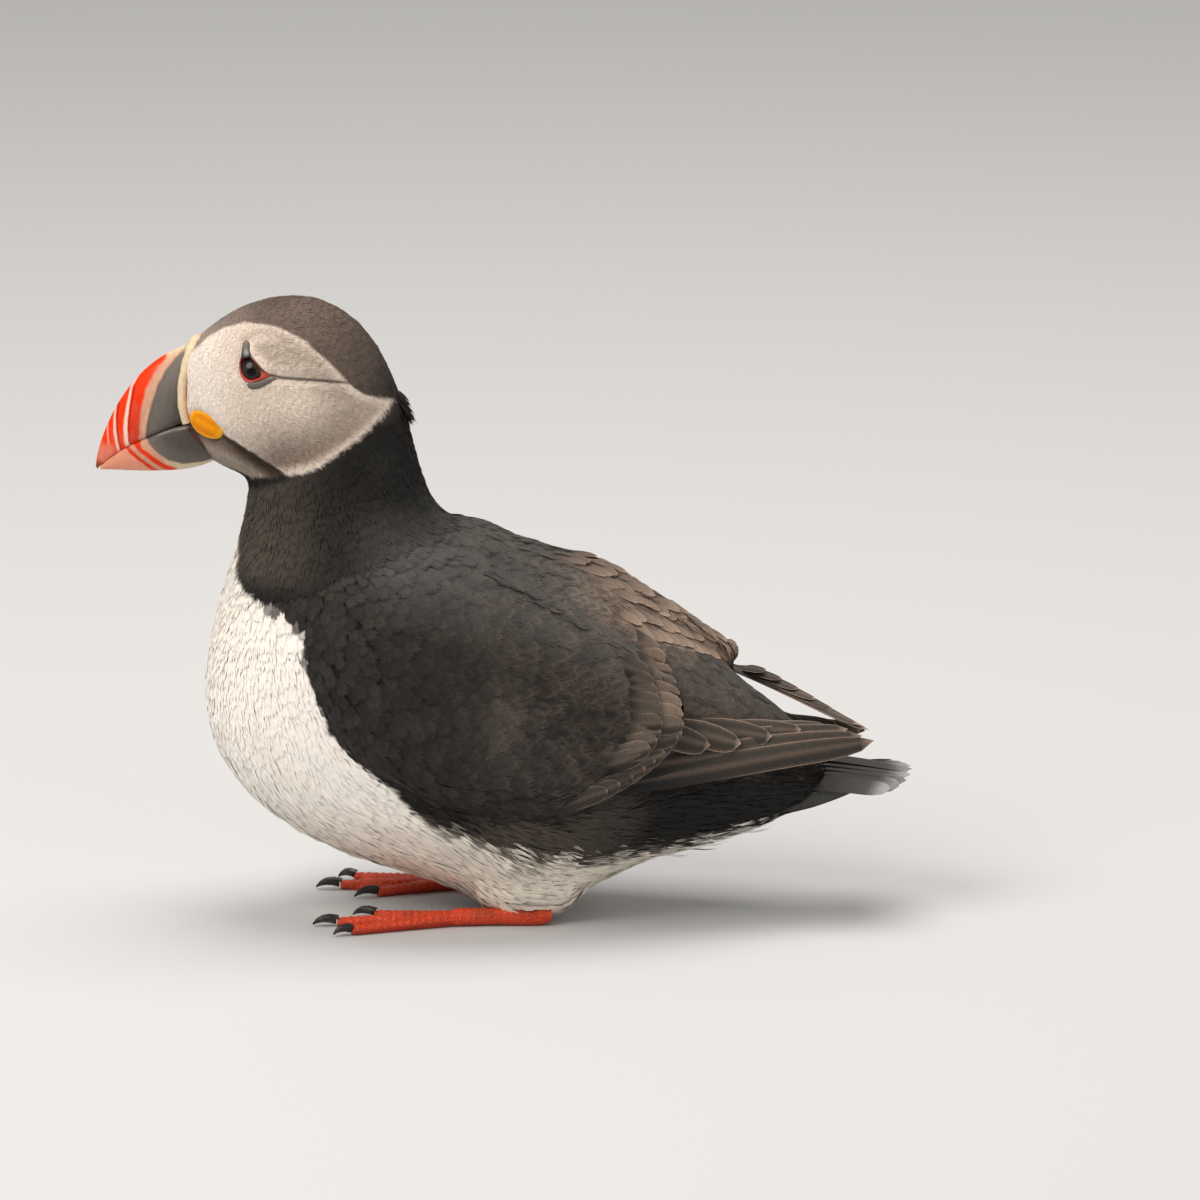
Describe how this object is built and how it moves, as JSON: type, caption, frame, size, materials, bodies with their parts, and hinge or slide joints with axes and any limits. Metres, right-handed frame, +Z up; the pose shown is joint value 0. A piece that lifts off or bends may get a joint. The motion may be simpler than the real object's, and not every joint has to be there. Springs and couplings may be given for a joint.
{
  "type": "atlantic puffin",
  "caption": "Life-size still model of an Atlantic puffin resting on its shanks and belly, head up, wings folded and bill closed.",
  "frame": {"origin": "on the floor under the middle of the bird's outline", "axes": "+Z up, the bird faces -Y, its left side is +X"},
  "size_m": [0.0975, 0.2332, 0.1788],
  "materials": {
    "plumage_head": "short dense feathers, pale grey face and grey-brown cap",
    "plumage_neck": "short dense blackish brown feathers",
    "plumage_body": "soft white feathers below, black above",
    "plumage_wing": "black and brown vaned feathers, satin",
    "bill_horn": "ridged horn, red, slate grey and cream bands",
    "rim_horn": "pitted pale yellow horn",
    "gape_skin": "pleated bare skin, yellow-orange",
    "plate_horn": "smooth grey-blue horn",
    "eye_wet": "wet dark eye",
    "leg_skin": "scaled bare skin, orange-red, satin",
    "claw_horn": "smooth black horn"
  },
  "bodies": {
    "root": {"head": "plumage_head", "neck": "plumage_neck", "trunk": "plumage_body", "tail": "plumage_wing", "wing_left": "plumage_wing", "wing_right": "plumage_wing", "primaries_left": "plumage_wing", "primaries_right": "plumage_wing", "bill_upper": "bill_horn", "bill_lower": "bill_horn", "bill_rim": "rim_horn", "rosette_left": "gape_skin", "rosette_right": "gape_skin", "eye_left": "eye_wet", "eye_right": "eye_wet", "eye_plate_upper_left": "plate_horn", "eye_plate_upper_right": "plate_horn", "eye_plate_lower_left": "plate_horn", "eye_plate_lower_right": "plate_horn", "leg_left": "leg_skin", "leg_right": "leg_skin", "foot_left": "leg_skin", "foot_right": "leg_skin", "claw_inner_left": "claw_horn", "claw_inner_right": "claw_horn", "claw_middle_left": "claw_horn", "claw_middle_right": "claw_horn", "claw_outer_left": "claw_horn", "claw_outer_right": "claw_horn"}
  },
  "joints": []
}
